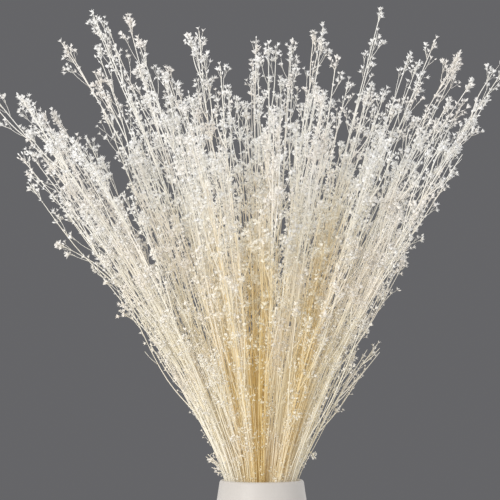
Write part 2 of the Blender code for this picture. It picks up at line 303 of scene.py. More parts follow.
def growBunch():
    # All the stems, then their side stems by turns, then the florets, so that each one finds room.
    draw = random.Random(bunch["seed"])
    grown = Grown()
    stems = []
    for number, (tip, mouth) in enumerate(zip(*tipsAndMouths())):
        for _ in range(bunch["tries"]):
            path = stemPath(tip, mouth, draw)
            if grown.isClear(path, bunch["stemRadius"], number):
                break
        grown.add(path, bunch["stemRadius"], number)
        stems.append({"path": path, "above": path[2:], "sides": [], "florets": []})
    for k in range(bunch["sideStems"]):
        for number, stem in enumerate(stems):
            isShort = stem["above"][-1][2] - bunch["vaseHeight"] < bunch["shortStem"]
            if k < bunch["shortSideStems" if isShort else "sideStems"]:
                growSide(stem, number, k, grown, draw)
    for number, stem in enumerate(stems):
        carriers = [(stem["above"], bunch["stemFlorets"], bunch["lowestOnStem"])]
        carriers += [(path, bunch["sideFlorets"], bunch["lowestOnSide"]) for path, _ in stem["sides"]]
        for carrier, count, lowest in carriers:
            for k in range(count):
                growFloret(stem, carrier, k / (count - 1), lowest, number, grown, draw)
    return stems


def growSide(stem, number, k, grown, draw):
    # Two runs: the first at a wider angle to the stem, the second closer to the way the stem runs.
    reach = lengthOf(stem["above"])
    for attempt in range(bunch["tries"]):
        share = bunch["firstSide"] + bunch["sideStep"] * k
        share += draw.uniform(-bunch["sideStray"], bunch["sideStray"])
        length = min(reach * (1 - share) * draw.uniform(*bunch["sideShares"]), bunch["longestSide"])
        around = k * goldenAngle + number + attempt * bunch["sideRetryTurn"]
        start, direction = atShare(stem["above"], share)
        first = leaning(direction, around, math.radians(draw.uniform(*bunch["leavingAngles"])))
        then = leaning(direction, around, math.radians(draw.uniform(*bunch["risingAngles"])))
        middle = start + first * length * bunch["firstBend"]
        path = np.array([start, middle, middle + then * length * (1 - bunch["firstBend"])])
        if grown.isClear(path, bunch["sideRadius"], number):
            grown.add(path, bunch["sideRadius"], number)
            stem["sides"].append((path, share))
            return


def growFloret(stem, carrier, rank, lowest, number, grown, draw):
    # Rank 0 stands on the carrier's tip and rank 1 is the lowest, turned round from the first.
    highest = 1 - bunch["tipSink"] / lengthOf(carrier)
    for attempt in range(bunch["tries"]):
        share = highest - (highest - lowest) * rank * draw.uniform(*bunch["floretSpacing"])
        tilt = math.radians(draw.uniform(*bunch["floretAngles" if rank else "tipAngles"]))
        base, direction = atShare(carrier, share)
        around = rank * bunch["floretTurns"] * goldenAngle + number + attempt * bunch["floretRetryTurn"]
        length = bunch["floretLength"] * draw.uniform(*bunch["floretLengths"])
        top = base + leaning(direction, around, tilt) * length
        if grown.isClear([base, top], bunch["floretRadius"], number):
            grown.add([base, top], bunch["floretRadius"], number)
            stem["florets"].append((base, top))
            return


# Meshes: triangles are gathered in a pile, with a finish for each and a tone for each point.
def newPile():
    return {"points": [], "triangles": [], "finish": [], "tone": [], "count": 0}


def addSurface(pile, points, triangles, finish, tone):
    # One more surface of a pile, its triangles numbered from the pile's last point.
    points = points.reshape(-1, 3)
    pile["points"].append(points)
    pile["triangles"].append(triangles.reshape(-1, 3) + pile["count"])
    pile["finish"].append(np.full(triangles.size // 3, finish))
    pile["tone"].append(np.broadcast_to(tone, len(points)))
    pile["count"] += len(points)


def meshOf(name, pile, materials):
    # The pile as one mesh piece at the origin, with its tone as a point attribute.
    points = np.concatenate(pile["points"]).astype(np.float32)
    triangles = np.concatenate(pile["triangles"]).astype(np.int32)
    mesh = bpy.data.meshes.new(name)
    mesh.vertices.add(len(points))
    mesh.loops.add(triangles.size)
    mesh.polygons.add(len(triangles))
    mesh.vertices.foreach_set("co", points.ravel())
    mesh.loops.foreach_set("vertex_index", triangles.ravel())
    mesh.polygons.foreach_set("loop_start", np.arange(0, triangles.size, 3, dtype=np.int32))
    mesh.update(calc_edges=True)
    mesh.polygons.foreach_set("use_smooth", np.full(len(triangles), True))
    for material in materials:
        mesh.materials.append(material)
    mesh.polygons.foreach_set("material_index", np.concatenate(pile["finish"]).astype(np.int32))
    tone = mesh.attributes.new("tone", "FLOAT", "POINT")
    tone.data.foreach_set("value", np.concatenate(pile["tone"]).astype(np.float32))
    piece = bpy.data.objects.new(name, mesh)
    bpy.context.scene.collection.objects.link(piece)
    return piece


def unit(vectors):
    # Each vector divided by its length.
    return vectors / np.maximum(np.linalg.norm(vectors, axis=-1, keepdims=True), 1e-12)


def crossAxes(directions, nearY=0.85):
    # Two unit vectors square to each direction and to each other: d x Y, or d x X where d is near Y.
    helper = np.where(np.abs(directions[..., 1:2]) > nearY, (1.0, 0.0, 0.0), (0.0, 1.0, 0.0))
    side = unit(np.cross(directions, helper))
    return side, np.cross(directions, side)


def lean(directions, around, angle):
    # Unit vectors at an angle to each direction: d cos(angle) + across sin(angle), across turned around it.
    side, other = crossAxes(directions)
    across = side * np.cos(around)[..., None] + other * np.sin(around)[..., None]
    return directions * np.cos(angle)[..., None] + across * np.sin(angle)[..., None]


def gridTriangles(rows, columns):
    # Triangles of a grid of rows of points, each row closed on itself.
    row, column = np.meshgrid(np.arange(rows - 1), np.arange(columns), indexing="ij")
    a = row * columns + column
    b = row * columns + (column + 1) % columns
    return np.stack([a, b, b + columns, a, b + columns, a + columns], axis=-1).reshape(-1, 3)


def tubeSurface(paths, radii, sides):
    # Points at radius(v) round the path point P(v), at angle u: P(v) + r(v) (cos u side + sin u other).
    count, rows = radii.shape
    side, other = crossAxes(unit(np.gradient(paths, axis=1)))
    u = 2 * np.pi * np.arange(sides) / sides
    ring = np.cos(u)[:, None] * side[:, :, None] + np.sin(u)[:, None] * other[:, :, None]
    points = paths[:, :, None] + radii[:, :, None, None] * ring
    k = np.arange(1, sides - 1)
    low = np.stack([np.zeros_like(k), k + 1, k], axis=-1)
    high = np.stack([np.zeros_like(k), k, k + 1], axis=-1) + (rows - 1) * sides
    one = np.concatenate([gridTriangles(rows, sides), low, high])
    return points, one + (np.arange(count) * rows * sides)[:, None, None]


def smoothPath(path, count):
    # A curve through the points of a path: a cubic between each two, tangent to their neighbours.
    path = np.asarray(path)
    padded = np.vstack([2 * path[0] - path[1], path, 2 * path[-1] - path[-2]])
    u = np.linspace(0, len(path) - 1, count)
    k = np.minimum(u.astype(int), len(path) - 2)
    t = (u - k)[:, None]
    a, b, c, d = padded[k], padded[k + 1], padded[k + 2], padded[k + 3]
    bend = (c - a) + (2 * a - 5 * b + 4 * c - d) * t + (3 * b - a - 3 * c + d) * t * t
    return b + bend * t / 2


def alongPath(path, shares):
    # Points and directions at shares of a path's length.
    lengths = np.append(0.0, np.cumsum(np.linalg.norm(np.diff(path, axis=0), axis=1)))
    at = np.clip(np.asarray(shares), 0, 1) * lengths[-1]
    points = np.stack([np.interp(at, lengths, path[:, k]) for k in range(3)], axis=-1)
    directions = unit(np.gradient(path, axis=0))
    turns = np.stack([np.interp(at, lengths, directions[:, k]) for k in range(3)], axis=-1)
    return points, unit(turns)


# Florets: a ragged little star, flared from a pointed foot; some have a second star inside.
floret = {
    "petals": 5,
    "shapes": 7,
    "doubles": 1,  # how many of the shapes are double
    # each ring: radius and height at a petal's tip, then radius and height at a notch
    "outer": ((0.00205, 0.0033), (0.00070, 0.0019)),
    "inner": ((0.00110, 0.0040), (0.00045, 0.0026)),
    "middle": 0.0016,
    "innerMiddle": 0.0028,
    "ragged": 0.24,  # how far a point may be off, as a share of its radius and height
    "raggedTurn": 0.6,
    "bud": ((0.00074, 0.0010), (0.00058, 0.0023)),
    "budTop": 0.0033,
    "budSides": 4,
    "budRagged": 0.1,
    "buds": 0.20,
    "seed": 5,
    "sizes": (0.76, 1.22),
    "lowSize": 0.62,  # of that size at the rim, growing to the whole of it over sizeRise
    "sizeRise": (0.05, 0.20),
}


def ringPoints(tip, notch, columns, ragged, draw):
    # Radius and height at the angle u swing between a petal's tip and a notch, each a little off.
    turn = floret["raggedTurn"]
    u = 2 * np.pi * (np.arange(columns) + ragged * draw.uniform(-turn, turn, columns)) / columns
    swing = (np.arange(columns) % 2 == 0).astype(float)
    stray = 1 + ragged * draw.uniform(-1, 1, (2, columns))
    radius = (notch[0] + (tip[0] - notch[0]) * swing) * stray[0]
    height = (notch[1] + (tip[1] - notch[1]) * swing) * stray[1]
    return np.stack([radius * np.cos(u), radius * np.sin(u), height], axis=-1)


def closedShape(rings, top):
    # Rings of points one above the other, closed by a pole at the foot and one at the top.
    columns = len(rings[0])
    points = np.concatenate([*rings, [[0, 0, 0.0]], [[0, 0, top]]])
    k = np.arange(columns)
    after = (k + 1) % columns
    last = (len(rings) - 1) * columns
    foot = np.stack([np.full(columns, len(points) - 2), after, k], axis=-1)
    head = np.stack([np.full(columns, len(points) - 1), last + k, last + after], axis=-1)
    return points, np.concatenate([gridTriangles(len(rings), columns), foot, head])


def floretShapes():
    # Opened florets, one ring of petals or two, and a bud: closed shapes that every floret is a copy of.
    draw = np.random.default_rng(floret["seed"])
    columns = 2 * floret["petals"]
    opened = []
    for k in range(floret["shapes"]):
        rings = [ringPoints(*floret["outer"], columns, floret["ragged"], draw)]
        if k < floret["doubles"]:
            rings.append(ringPoints(*floret["inner"], columns, floret["ragged"], draw))
        opened.append(closedShape(rings, floret["innerMiddle" if len(rings) > 1 else "middle"]))
    sides, ragged = floret["budSides"], floret["budRagged"]
    rings = [ringPoints(end, end, sides, ragged, draw) for end in floret["bud"]]
    bud = closedShape(rings, floret["budTop"])
    return opened, bud


def placeShape(shape, feet, directions, turns, sizes):
    # A copy of a shape at each foot: foot + size (x side + y other + z direction), turned round z.
    points, triangles = shape
    side, other = crossAxes(directions)
    c, s = np.cos(turns)[:, None], np.sin(turns)[:, None]
    axes = np.stack([side * c + other * s, other * c - side * s, directions], axis=1)
    placed = np.einsum("pk,nkj->npj", points, axes) * sizes[:, None, None] + feet[:, None]
    return placed, triangles + (np.arange(len(feet)) * len(points))[:, None, None]


# One stem with all that grows on it.
spray = {
    "seed": 100,
    "stemRows": 52,
    "stemSides": 5,
    "stemRadius": 0.00100,
    "stemTipRadius": 0.00034,
    "nodeSwelling": 0.30,  # how much thicker a stem is at its knots
    "nodeReach": 0.0028,
    "nodeSpacing": 0.046,
    "firstNode": 0.030,
    "stemTones": (0.1, 1.0),
    "sideTones": (0.2, 1.0),
    "twigTone": 0.70,
    "pedicelTone": 0.75,
    "sideRows": 12,
    "sideSides": 4,
    "sideRadius": 0.00050,
    "sideTipRadius": 0.00026,
    "fines": 13,  # hair-thin stems that fill the mouth and the lower half
    "bareFines": 9,  # of them carry only a small head
    "fineRows": 11,
    "fineRadius": 0.00044,
    "fineTipRadius": 0.00024,
    "fineStarts": (0.50, 0.90),  # as shares of the stem inside the vase
    "fineReach": (0.14, 0.90),  # as shares of the stem above the rim
    "fineLeave": 0.030,  # over this length a thin stem takes its distance from the stem
    "fineStray": (0.0015, 0.0060),
    "fineDrift": (-0.004, 0.009),
    "fineSway": 0.0014,
    "fineWaves": (3, 7),
    "finePhases": (0, 6),
    "fineThickness": (0.65, 1.45),
    "fineInside": (0.74, 1.0),  # how far out a thin stem may stand, as a share of the outline
    "uppers": 4,
    "upperShares": (0.40, 0.90),
    "upperLengths": (0.030, 0.080),
    "upperAngles": ((12, 24), (1, 9)),
    "upperBend": 0.45,  # where it bends, as a share of its length
    "upperLongest": 0.95,  # as a share of the way to its stem's tip
    "lowBearing": 0.10,  # where the lowest stalks stand, as a share of the length above the rim
    "lowBearers": 0.5,  # of the stems bear that low
    "stemBearing": 0.34,
    "sideBearing": 0.30,
    "fineBearing": 0.50,
    "headOnly": 0.96,
    "highestFoot": 0.97,
    "stalkRows": 4,
    "stalkSpacing": 0.024,
    "stalkPlaces": (0.1, 0.9),  # of its own length of carrier, where a stalk stands
    "stalkCrowding": 0.85,  # powers below 1 crowd the stalks and twigs towards the tip
    "singleCrowding": 0.8,
    "stalkEnds": (0.7, 1.1),  # how near a stalk's end comes to the tip's height
    "stalkShares": (0.6, 1.0),
    "stalkLengths": (0.006, 0.025),
    "stalkAngles": (16, 42),
    "stalkRadius": 0.00028,
    "singleSpacing": 0.030,  # twigs that stand on the carrier itself
    "twigLengths": (0.0030, 0.0095),
    "twigAngles": (8, 40),
    "twigTurn": 0.6,
    "twigRadius": 0.00023,
    "twigTipRadius": 0.00017,
    "rise": 0.35,  # how much of its angle a stalk or twig keeps at its end
    "endRoom": 0.009,  # the head of a tip starts this far below it, so that its florets end there
    "lowestEnd": 0.5,
    "headLength": 0.004,
    "stalkHead": (2, 5),  # twigs in the head of a stalk: from, and below
    "tipHead": (3, 6),
    "fineHead": (1, 4),
    "fuzzFrom": 0.022,  # stems this far out at the rim are fuzzy all the way down
    "fuzzShares": (0.02, 0.40),
    "fuzzSpacing": 0.0056,
    "fuzzAngles": (22, 72),
    "fuzzyFines": 3,  # of the thin stems of such a stem are fuzzy too
    "clusterSizes": (1, 1, 1, 2, 2, 2, 3),
    "pedicelLengths": (0.0012, 0.0042),
    "pedicelAngles": (14, 64),
    "pedicelRadius": 0.00022,
    "firstAngle": 0.25,  # the first floret of a cluster ends its twig: shares of the angle and length above
    "firstLength": 0.20,
    "clusterLength": 0.0040,
    "clusterTurn": 1.7,
    "floretSink": 0.0006,
    "ownPedicel": 0.0024,  # below their tops, where the solids' own florets begin, and their pedicels end
    "ownFloret": 0.0028,
    "room": 0.004,  # how far anything may stand outside the solids' box
    "mouth": 0.0325,  # the bunch's outline: how far it reaches at the rim, and how it widens
    "left": (0.36, 1.10),
    "right": (0.52, 0.0),
    "stemSlack": 0.014,  # how far the florets of the solids' own stems may pass it
    "fuzzSlack": 0.0065,
    "fringe": 0.004,  # the florets outside the outline thin out over this
}
stalk, petal = 0, 1  # the finishes' places in a spray's material slots
# Sprigs that stand out of the outline: their stem, counted from 0, the share they leave it at, their tip.
sprigs = (
    (5, 0.58, (-0.184, -0.012, 0.413)),
    (5, 0.42, (-0.128, -0.014, 0.352)),
    (33, 0.16, (0.0475, -0.020, 0.221)),
    (0, 0.015, (-0.0480, -0.020, 0.2240)),
    (5, 0.010, (-0.0500, -0.004, 0.2210)),
    (2, 0.012, (-0.0445, -0.027, 0.2125)),
    (1, 0.010, (-0.0450, 0.010, 0.2150)),
    (32, 0.010, (-0.0425, -0.016, 0.2080)),
    (34, 0.010, (0.0062, -0.046, 0.2500)),
    (36, 0.200, (0.0320, -0.058, 0.2610)),
)
sprigSlack = 0.030
sprigLeave = 0.30  # how far it keeps to the way its stem runs, as a share of its reach


def insideBox(points):
    # Which points lie in the solids' box, grown a little.
    low = np.array(cadBox[0]) - spray["room"]
    high = np.array(cadBox[1]) + spray["room"]
    return ((points > low) & (points < high)).all(axis=-1)


def outlineReach(points):
    # How far out the bunch goes: mouth + a rise + b rise^2, with its own a and b left and right.
    rise = np.clip(points[..., 2] - bunch["vaseHeight"], 0, None)
    away = np.maximum(np.linalg.norm(points[..., :2], axis=-1), 1e-9)
    left, right = (spray["mouth"] + a * rise + b * rise**2 for a, b in (spray["left"], spray["right"]))
    return left + (right - left) * (1 + points[..., 0] / away) / 2, away


def keepInside(points, share):
    # Draws a path in towards the axis where it would leave its share of the outline.
    reach, away = outlineReach(points)
    inside = points.copy()
    inside[..., :2] *= np.minimum(1, reach * share / away)[..., None]
    return inside


def isKept(points, slack, draw):
    # All that lies inside the outline and its slack stays, and less and less of it outside.
    reach, away = outlineReach(points)
    chance = np.exp(-np.clip(away - reach - slack, 0, None) / spray["fringe"])
    return insideBox(points) & (draw.uniform(0, 1, len(points)) < chance)


def addStem(pile, path, tone, knots):
    # The main stem swells a little at its knots.
    lengths = np.append(0.0, np.cumsum(np.linalg.norm(np.diff(path, axis=0), axis=1)))
    share = lengths / lengths[-1]
    radii = spray["stemRadius"] + (spray["stemTipRadius"] - spray["stemRadius"]) * share
    swell = np.exp(-(((lengths[:, None] - knots) / spray["nodeReach"]) ** 2)).sum(axis=1)
    radii = radii * (1 + spray["nodeSwelling"] * np.minimum(swell, 1))
    points, triangles = tubeSurface(path[None], radii[None], spray["stemSides"])
    addSurface(pile, points, triangles, stalk, tone)


def addThin(pile, path, first, last, sides, tone):
    # One tube along a path, its radius going evenly from first to last.
    radii = np.linspace(first, last, len(path))
    points, triangles = tubeSurface(path[None], radii[None], sides)
    addSurface(pile, points, triangles, stalk, tone)


def finePath(whole, rim, draw):
    # Leaves its stem inside the vase, strays from it to one side and sways a little on its way up.
    length = lengthOf(whole)
    start = rim * draw.uniform(*spray["fineStarts"])
    end = rim + (1 - rim) * draw.uniform(*spray["fineReach"])
    along = np.linspace(0, 1, spray["fineRows"])
    points, directions = alongPath(whole, start + (end - start) * along)
    side, other = crossAxes(directions)
    around = draw.uniform(0, 2 * np.pi)
    left = np.minimum(1, along * (end - start) * length / spray["fineLeave"])
    out = left * draw.uniform(*spray["fineStray"]) + along * draw.uniform(*spray["fineDrift"])
    wave = np.sin(along * draw.uniform(*spray["fineWaves"]) + draw.uniform(*spray["finePhases"]))
    sway = left * spray["fineSway"] * wave
    across = side * math.cos(around) + other * math.sin(around)
    square = other * math.cos(around) - side * math.sin(around)
    share = 1 - left * (1 - draw.uniform(*spray["fineInside"]))
    return keepInside(points + across * out[:, None] + square * sway[:, None], share)


def upperPath(stem, draw):
    # A shorter side stem higher up: a curve through its foot, the bend and its tip.
    base, direction = alongPath(stem, [draw.uniform(*spray["upperShares"])])
    longest = np.linalg.norm(stem[-1] - base[0]) * spray["upperLongest"]
    length = min(draw.uniform(*spray["upperLengths"]), longest)
    around = np.array([draw.uniform(0, 2 * np.pi)])
    leave, rise = spray["upperAngles"]
    first = lean(direction, around, np.radians([draw.uniform(*leave)]))[0]
    then = lean(direction, around, np.radians([draw.uniform(*rise)]))[0]
    bend = spray["upperBend"]
    middle = base[0] + first * length * bend
    return smoothPath([base[0], middle, middle + then * length * (1 - bend)], spray["sideRows"])


def sprigPath(stem, share, tip):
    # From the stem to the tip, halfway between the straight line and the way the stem runs.
    (base,), (direction,) = alongPath(stem, [share])
    tip = np.array(tip)
    ahead = base + direction * np.linalg.norm(tip - base) * sprigLeave
    middle = (ahead + (base + tip) / 2) / 2
    return smoothPath([base, middle, tip], spray["sideRows"])


def curvedTwigs(feet, directions, around, angles, reach, rows=3):
    # From each foot a quadratic curve by a corner halfway out, ending closer to the way the stem runs.
    first = lean(directions, around, angles)
    then = lean(directions, around, angles * spray["rise"])
    half = reach[:, None, None] / 2
    corner = feet[:, None] + first[:, None] * half
    end = corner + then[:, None] * half
    t = np.linspace(0, 1, rows)[None, :, None]
    return feet[:, None] * (1 - t) ** 2 + corner * 2 * t * (1 - t) + end * t * t


def addTwigs(pile, paths, first, last):
    # Three-sided tubes along many paths at once.
    radii = np.linspace(first, last, paths.shape[1])
    points, triangles = tubeSurface(paths, np.broadcast_to(radii, paths.shape[:2]), 3)
    addSurface(pile, points, triangles, stalk, spray["twigTone"])


def growStalks(pile, carrier, start, head, slack, draw):
    # Stalks leave a carrier all round it and rise; near its tip they end about level with it.
    length = lengthOf(carrier)
    last = max(spray["lowestEnd"], 1 - spray["endRoom"] / length)
    count = round(length * max(0, last - start) / spray["stalkSpacing"])
    rank = (np.arange(count) + draw.uniform(*spray["stalkPlaces"], count)) / max(1, count)
    shares = start + (last - start) * rank ** spray["stalkCrowding"]
    feet, directions = alongPath(carrier, shares)
    around = np.arange(count) * goldenAngle + draw.uniform(0, 2 * np.pi)
    angles = np.radians(draw.uniform(*spray["stalkAngles"], count))
    toEnd = (last - shares) * length * draw.uniform(*spray["stalkEnds"], count)
    reach = np.clip(toEnd, *spray["stalkLengths"]) * draw.uniform(*spray["stalkShares"], count)
    paths = curvedTwigs(feet, directions, around, angles, reach * sizeAt(feet), spray["stalkRows"])
    paths = paths[isKept(paths[:, -1], slack, draw)]
    if len(paths):
        addTwigs(pile, paths, spray["stalkRadius"], spray["twigRadius"])
    ends, ways = paths[:, -1], unit(paths[:, -1] - paths[:, -2])
    tip, way = alongPath(carrier, [last])
    heads = np.append(draw.integers(*spray["stalkHead"], len(ends)), draw.integers(*head))
    ends, ways = np.vstack([ends, tip]), np.vstack([ways, way])
    of = np.repeat(np.arange(len(ends)), heads)
    back = draw.uniform(0, spray["headLength"], len(of))[:, None]
    return ends[of] - ways[of] * back, ways[of]


def growSingles(carrier, low, high, spacing, draw):
    # Feet of the twigs that stand on the carrier itself.
    count = round(lengthOf(carrier) * max(0, high - low) / spacing)
    rank = draw.uniform(0, 1, count) ** spray["singleCrowding"]
    return alongPath(carrier, low + (high - low) * rank)


def growTwigs(pile, feet, directions, tilts, slack, draw):
    # A curved twig from each foot, at golden angles round the carriers; gives their ends.
    count = len(feet)
    turn = spray["twigTurn"]
    around = np.arange(count) * goldenAngle + draw.uniform(-turn, turn, count)
    angles = np.radians(draw.uniform(*tilts, count))
    reach = draw.uniform(*spray["twigLengths"], count) * sizeAt(feet)
    paths = curvedTwigs(feet, directions, around, angles, reach)
    paths = paths[isKept(paths[:, -1], slack, draw)]
    addTwigs(pile, paths, spray["twigRadius"], spray["twigTipRadius"])
    return paths[:, -1], unit(paths[:, -1] - paths[:, -2])


def sizeAt(points):
    # Twigs and florets are small at the rim and grow to their whole size higher up.
    low, high = floret["sizeRise"]
    share = np.clip((points[..., 2] - bunch["vaseHeight"] - low) / (high - low), 0, 1)
    return floret["lowSize"] + (1 - floret["lowSize"]) * share


def addHeads(pile, grown, tilts, shapes, slack, draw):
    # A twig with its florets on every foot grown.
    feet, ways = (np.vstack(parts) for parts in zip(*grown))
    if len(feet):
        ends, directions = growTwigs(pile, feet, ways, tilts, slack, draw)
        addClusters(pile, ends, directions, shapes, slack, draw)


def addClusters(pile, ends, directions, shapes, slack, draw):
    # Each twig ends in a few florets on pedicels that spread from its last millimetres.
    sizes = draw.choice(spray["clusterSizes"], len(ends))
    twig = np.repeat(np.arange(len(ends)), sizes)
    count = len(twig)
    rank = np.arange(count) - np.repeat(np.cumsum(sizes) - sizes, sizes)
    back = draw.uniform(0, spray["clusterLength"], count) * (rank > 0)
    feet = ends[twig] - directions[twig] * back[:, None]
    angle = np.radians(draw.uniform(*spray["pedicelAngles"], count))
    angle = np.where(rank == 0, angle * spray["firstAngle"], angle)
    out = lean(directions[twig], rank * goldenAngle + twig * spray["clusterTurn"], angle)
    length = draw.uniform(*spray["pedicelLengths"], count)
    length = length * np.where(rank == 0, spray["firstLength"], sizeAt(feet))
    tops = feet + out * length[:, None]
    kept = isKept(tops, slack, draw)
    feet, out, tops, rank = feet[kept], out[kept], tops[kept], rank[kept]
    onSide = rank > 0
    if onSide.any():
        addPedicels(pile, feet[onSide], (tops + out * spray["floretSink"])[onSide])
    addFlorets(pile, tops, out, shapes, draw)


def addPedicels(pile, feet, tops):
    # A pedicel is a thin three-sided spike, widening from its foot up into its floret.
    side, other = crossAxes(unit(tops - feet))
    turns = np.arange(3) * 2 * np.pi / 3
    ring = np.cos(turns)[:, None] * side[:, None] + np.sin(turns)[:, None] * other[:, None]
    rims = tops[:, None] + ring * spray["pedicelRadius"]
    points = np.concatenate([feet[:, None], rims], axis=1)
    one = np.array([[0, 2, 1], [0, 3, 2], [0, 1, 3], [1, 2, 3]])
    triangles = one + (np.arange(len(feet)) * 4)[:, None, None]
    addSurface(pile, points, triangles, stalk, spray["pedicelTone"])


def addFlorets(pile, feet, directions, shapes, draw):
    # At each foot a copy of an opened floret or of the bud, each with its own size, turn and tone.
    opened, bud = shapes
    count = len(feet)
    kind = draw.integers(0, len(opened), count)
    kind[draw.uniform(0, 1, count) < floret["buds"]] = -1
    scale = draw.uniform(*floret["sizes"], count) * sizeAt(feet)
    turns = draw.uniform(0, 2 * np.pi, count)
    tone = draw.uniform(0, 1, count)
    for k in range(-1, len(opened)):
        chosen = kind == k
        if not chosen.any():
            continue
        shape = bud if k < 0 else opened[k]
        places = feet[chosen], directions[chosen], turns[chosen], scale[chosen]
        points, triangles = placeShape(shape, *places)
        addSurface(pile, points, triangles, petal, np.repeat(tone[chosen], len(shape[0])))


# Bare hooked twigs on some of the side stems.
curl = {
    "share": 0.07,  # of the carriers have one
    "places": (0.55, 0.85),
    "turns": (3.4, 4.8),
    "rows": 12,
    "radii": (0.0032, 0.0050),
    "tightening": 0.09,
    "away": 0.0045,  # from the carrier to the middle of the hook
    "rise": 0.0040,
    "tipRadius": 0.000136,
    "tone": 0.9,
}


def addCurl(pile, carrier, draw):
    # From the carrier round a circle that tightens: away - r cos(t) outwards, rise + r sin(t) upwards.
    (base,), direction = alongPath(carrier, [draw.uniform(*curl["places"])])
    side, other = crossAxes(direction)
    around = draw.uniform(0, 2 * np.pi)
    across = (side * math.cos(around) + other * math.sin(around))[0]
    turn = np.linspace(0, draw.uniform(*curl["turns"]), curl["rows"])
    radius = draw.uniform(*curl["radii"]) * (1 - curl["tightening"] * turn)
    out = (curl["away"] - radius * np.cos(turn))[:, None] * across
    up = (curl["rise"] * np.minimum(turn, 1) + radius * np.sin(turn))[:, None] * direction[0]
    path = base + out + up
    path[0] = base
    if insideBox(path).all():
        addThin(pile, path, spray["twigRadius"], curl["tipRadius"], 3, curl["tone"])


def carriersOf(number, stem, above, draw):
    # Everything on a stem that bears stalks: its path, where they begin, the size of its head, its slack.
    start = spray["lowBearing" if draw.uniform(0, 1) < spray["lowBearers"] else "stemBearing"]
    onSide, head, slack = spray["sideBearing"], spray["tipHead"], spray["stemSlack"]
    carriers = [(above, start, head, slack)]
    for path, _ in stem["sides"]:
        carriers.append((smoothPath(path, spray["sideRows"]), onSide, head, slack))
    for _ in range(spray["uppers"]):
        carriers.append((upperPath(above, draw), onSide, head, 0.0))
    for owner, share, tip in sprigs:
        if owner == number:
            carriers.append((sprigPath(above, share, tip), onSide, head, sprigSlack))
    return carriers


def addFines(pile, carriers, whole, rim, draw):
    # The hair-thin stems join the carriers; gives their paths.
    paths = []
    for k in range(spray["fines"]):
        paths.append(finePath(whole, rim, draw))
        thickness = draw.uniform(*spray["fineThickness"])
        first, last = spray["fineRadius"] * thickness, spray["fineTipRadius"] * thickness
        addThin(pile, paths[-1], first, last, 3, draw.uniform(0, 1))
        start = spray["headOnly" if k < spray["bareFines"] else "fineBearing"]
        carriers.append((paths[-1], start, spray["fineHead"], 0.0))
    return paths


def addOwnFlorets(pile, stem, shapes, draw):
    # The solids' own florets, on their pedicels.
    bases, tops = (np.array(ends) for ends in zip(*stem["florets"]))
    out = unit(tops - bases)
    addPedicels(pile, bases, tops - out * spray["ownPedicel"])
    addFlorets(pile, tops - out * spray["ownFloret"], out, shapes, draw)


def makeSpray(number, stem, shapes, materials):
    # The whole of one stem in one piece, drawn with a seed of its own.
    draw = np.random.default_rng(spray["seed"] + number)
    pile = newPile()
    whole = smoothPath(stem["path"], spray["stemRows"])
    above = smoothPath(stem["above"], spray["stemRows"])
    knots = np.arange(spray["firstNode"], lengthOf(whole), spray["nodeSpacing"])
    addStem(pile, whole, draw.uniform(*spray["stemTones"]), knots)
    carriers = carriersOf(number, stem, above, draw)
    for path, *_ in carriers[1:]:
        tone = draw.uniform(*spray["sideTones"])
        addThin(pile, path, spray["sideRadius"], spray["sideTipRadius"], spray["sideSides"], tone)
    fines = addFines(pile, carriers, whole, 1 - lengthOf(above) / lengthOf(whole), draw)
    for carrier, start, head, slack in carriers:
        grown = [growStalks(pile, carrier, start, head, slack, draw)]
        grown.append(growSingles(carrier, start, spray["highestFoot"], spray["singleSpacing"], draw))
        addHeads(pile, grown, spray["twigAngles"], shapes, slack, draw)
        if draw.uniform(0, 1) < curl["share"]:
            addCurl(pile, carrier, draw)
    if np.linalg.norm(above[0, :2]) > spray["fuzzFrom"]:
        for path in [above] + fines[:spray["fuzzyFines"]]:
            grown = growSingles(path, *spray["fuzzShares"], spray["fuzzSpacing"], draw)
            addHeads(pile, [grown], spray["fuzzAngles"], shapes, spray["fuzzSlack"], draw)
    addOwnFlorets(pile, stem, shapes, draw)
    piece = meshOf(f"spray_{number + 1:02d}", pile, materials)
    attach(piece, root)
    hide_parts(f"stem_{number + 1:02d}")
    return len(piece.data.polygons)


# Vase: the wall's outline turned about the axis.
vase = {
    "height": 0.200,
    "rim": 0.0374,
    "belly": 0.0470,
    "bellyHeight": 0.090,
    "foot": 0.0385,
    "wall": 0.0040,
    "floor": 0.0080,
    "swell": 1.8,
    "columns": 120,
    "footRound": 0.0016,
    "floorRound": 0.0040,
    "rimRise": 0.0032,  # height of the rim's rounding
    "flatRows": 6,
    "floorRows": 5,
    "innerRows": 18,
    "rimRows": 13,
    "outerRows": 44,
    # faint unevenness of the wall from the throwing: depth, waves in a metre or round it, phase
    "rings": ((0.00007, 900, 0.0), (0.00012, 140, 0.6)),
    "oval": (0.00010, 2, 0.8),
    "unevenFrom": 0.030,  # radii between which it sets in, and the height that it sets in over
    "unevenFull": 0.036,
    "unevenAbove": 0.010,
}


def barrelRadius(height):
    # The belly's radius, less a power of the height share above the belly and below it.
    above = np.clip((height - vase["bellyHeight"]) / (vase["height"] - vase["bellyHeight"]), 0, 1)
    below = np.clip((vase["bellyHeight"] - height) / vase["bellyHeight"], 0, 1)
    upper = (vase["belly"] - vase["rim"]) * above ** vase["swell"]
    lower = (vase["belly"] - vase["foot"]) * below ** vase["swell"]
    return vase["belly"] - upper - lower


